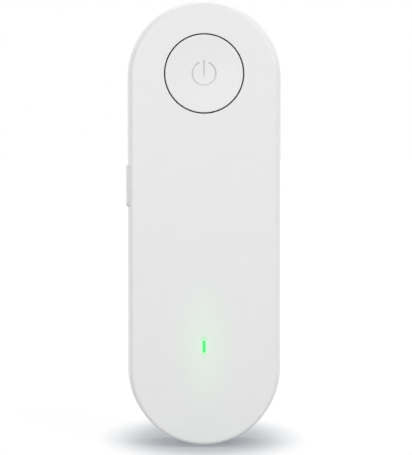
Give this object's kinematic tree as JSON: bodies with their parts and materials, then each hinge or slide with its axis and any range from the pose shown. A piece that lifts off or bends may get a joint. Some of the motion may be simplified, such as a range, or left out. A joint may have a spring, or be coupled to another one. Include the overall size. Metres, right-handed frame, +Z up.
{
  "type": "wall-plug mesh wifi node",
  "caption": "Slim pill-shaped mesh wifi node that plugs into a wall outlet, with a round power button, a lit status slot, a pairing key and a network socket in its lower end.",
  "frame": {"origin": "on the wall face, midway between the mains blades", "axes": "+Z up, -Y into the room (the front with the button), +X to the right of someone who looks at the front"},
  "size_m": [0.0503, 0.047, 0.1446],
  "materials": {
    "white_casing": "satin white moulding",
    "white_button": "satin white moulding",
    "dark_carrier": "fine matt moulding",
    "label_film": "smooth bare film",
    "zinc_steel": "zinc plated",
    "black_moulding": "matt moulding",
    "lit_pipe": "clear pipe lit green from behind",
    "lamp_body": "moulded lamp",
    "green_board": "solder resist",
    "tan_board": "bare laminate",
    "insulating_film": "smooth film",
    "insert_moulding": "satin moulding",
    "plated_blade": "nickel plated brass",
    "bronze_clip": "phosphor bronze",
    "tinned_steel": "tin plated",
    "gilt_contact": "gold flashed",
    "bare_aluminium": "extruded, bare",
    "heat_pad": "soft silicone",
    "chip_epoxy": "moulded epoxy",
    "ferrite": "pressed ferrite",
    "ceramic_body": "fired body",
    "winding_tape": "polyester tape",
    "capacitor_sleeve": "shrink sleeve",
    "yellow_case": "moulded case",
    "copper_coil": "enamelled wire",
    "blue_coating": "dipped epoxy",
    "fuse_case": "moulded case"
  },
  "bodies": {
    "casing": {"amplifier_chips": "chip_epoxy", "board_header": "black_moulding", "bulk_capacitors": "capacitor_sleeve", "casing_screws": "zinc_steel", "ceramic_capacitors": "ceramic_body", "clock_crystal": "tinned_steel", "converter_coils": "ferrite", "filter_capacitor": "yellow_case", "flash_chip": "chip_epoxy", "front_shell": "white_casing", "fuse": "fuse_case", "heat_sink": "bare_aluminium", "heat_sink_pad": "heat_pad", "heat_sink_screws": "zinc_steel", "insulating_sheet": "insulating_film", "jack_contacts": "gilt_contact", "jack_housing": "black_moulding", "jack_shield": "tinned_steel", "light_pipe": "lit_pipe", "line_blade": "plated_blade", "line_choke": "copper_coil", "line_clip": "bronze_clip", "lower_antennas": "tinned_steel", "main_board": "green_board", "main_board_screws": "zinc_steel", "memory_chips": "chip_epoxy", "network_chip": "chip_epoxy", "network_transformer": "chip_epoxy", "neutral_blade": "plated_blade", "neutral_clip": "bronze_clip", "output_capacitors": "capacitor_sleeve", "pairing_switch": "black_moulding", "plug_insert": "insert_moulding", "power_switch": "black_moulding", "processor": "chip_epoxy", "processor_fence": "tinned_steel", "processor_lid": "tinned_steel", "processor_pad": "heat_pad", "radio_chip": "chip_epoxy", "radio_fence": "tinned_steel", "radio_lid": "tinned_steel", "rating_label": "label_film", "rear_shell": "white_casing", "rectifier": "chip_epoxy", "reset_switch": "black_moulding", "status_lamp": "lamp_body", "supply_board": "tan_board", "supply_board_screws": "zinc_steel", "supply_controller": "chip_epoxy", "transformer_core": "ferrite", "transformer_rails": "black_moulding", "transformer_winding": "winding_tape", "upper_antennas": "tinned_steel", "varistor": "blue_coating"},
    "power_button": {"button_cap": "white_button", "button_carrier": "dark_carrier", "power_plunger": "black_moulding"},
    "pairing_key": {"pairing_key": "white_button", "pairing_plunger": "black_moulding"},
    "reset_pin": {"reset_plunger": "black_moulding"}
  },
  "joints": [
    {"name": "power_button_press", "type": "slide", "parent": "casing", "child": "power_button", "axis": [0, 1, 0], "range_m": [0, 0.0005], "stiffness_N_per_m": 800, "springref_m": -0.0015},
    {"name": "pairing_key_press", "type": "slide", "parent": "casing", "child": "pairing_key", "axis": [1, 0, 0], "range_m": [0, 0.0003], "stiffness_N_per_m": 800, "springref_m": -0.0015},
    {"name": "reset_press", "type": "slide", "parent": "casing", "child": "reset_pin", "axis": [0, 0, 1], "range_m": [0, 0.00025], "stiffness_N_per_m": 400, "springref_m": -0.0015}
  ]
}
